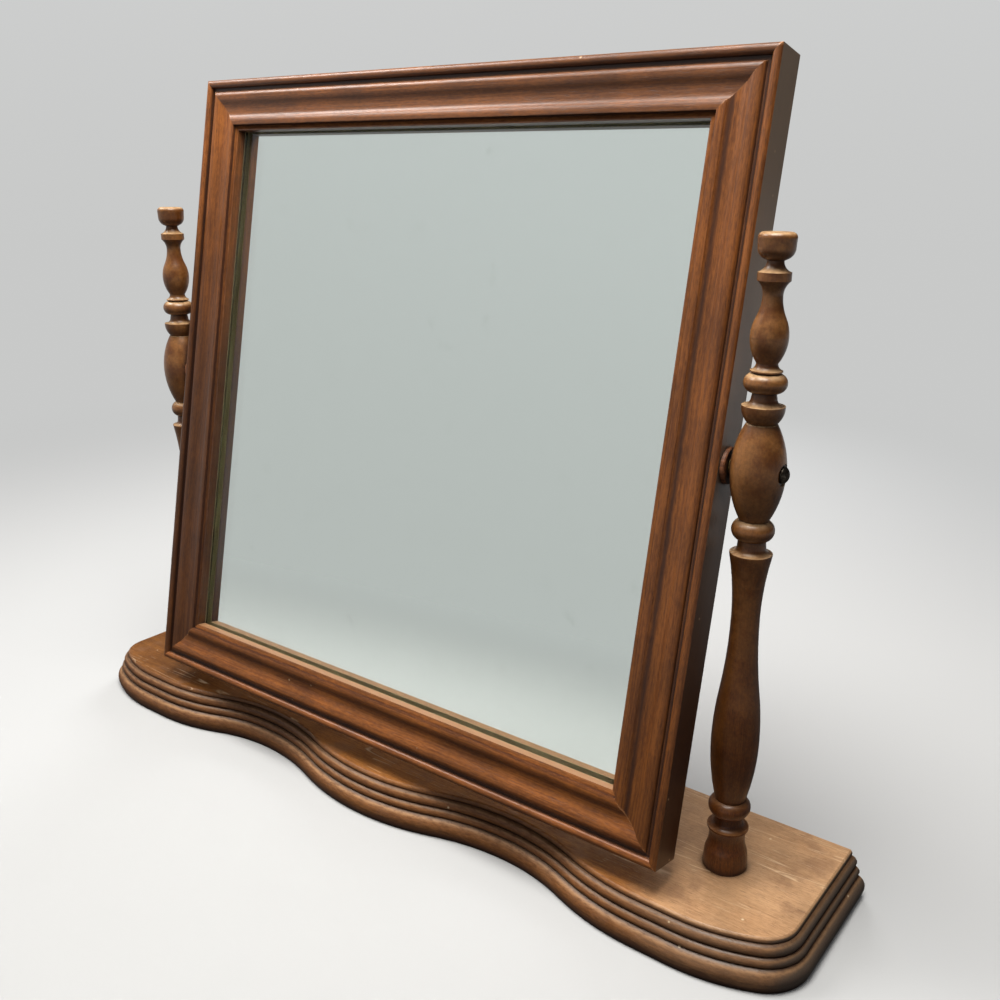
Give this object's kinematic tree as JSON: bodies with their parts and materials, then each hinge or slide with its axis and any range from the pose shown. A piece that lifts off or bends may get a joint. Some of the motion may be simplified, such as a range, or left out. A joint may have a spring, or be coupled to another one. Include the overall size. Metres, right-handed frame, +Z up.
{
  "type": "swing vanity mirror",
  "caption": "Free-standing dressing-table mirror: a moulded square frame swings on pivot screws between turned posts, on a reeded base with a serpentine front.",
  "frame": {"origin": "middle of the base's underside, on the surface it stands on", "axes": "+X along the base towards the viewer's right, +Y to the back, +Z up"},
  "size_m": [0.4858, 0.1002, 0.3814],
  "materials": {
    "base_wood": "honey-tan stained board, satin lacquer, worn at the edges",
    "post_wood": "mid-brown stained turning, satin lacquer",
    "frame_wood": "reddish-brown stained moulding, satin lacquer",
    "spacer_wood": "stained turned button",
    "silvered_glass": "polished, silvered on the back",
    "backing_board": "bare brown hardboard",
    "dark_steel": "darkened steel, slightly worn",
    "worn_brass": "dull, worn"
  },
  "bodies": {
    "stand": {"base_board": "base_wood", "post_left": "post_wood", "post_right": "post_wood", "post_screw_left": "dark_steel", "post_screw_right": "dark_steel", "pivot_washer_left": "worn_brass", "pivot_washer_right": "worn_brass"},
    "mirror": {"top_rail": "frame_wood", "bottom_rail": "frame_wood", "left_stile": "frame_wood", "right_stile": "frame_wood", "mirror_glass": "silvered_glass", "backing_board": "backing_board", "backing_brads": "dark_steel", "mitre_nails": "dark_steel", "pivot_screw_left": "dark_steel", "pivot_screw_right": "dark_steel", "pivot_spacer_left": "spacer_wood", "pivot_spacer_right": "spacer_wood", "pivot_insert_left": "worn_brass", "pivot_insert_right": "worn_brass"}
  },
  "joints": [
    {"name": "mirror_tilt", "type": "hinge", "parent": "stand", "child": "mirror", "pos_m": [0, 0.00335, 0.2142], "axis": [1, 0, 0], "continuous": true}
  ]
}
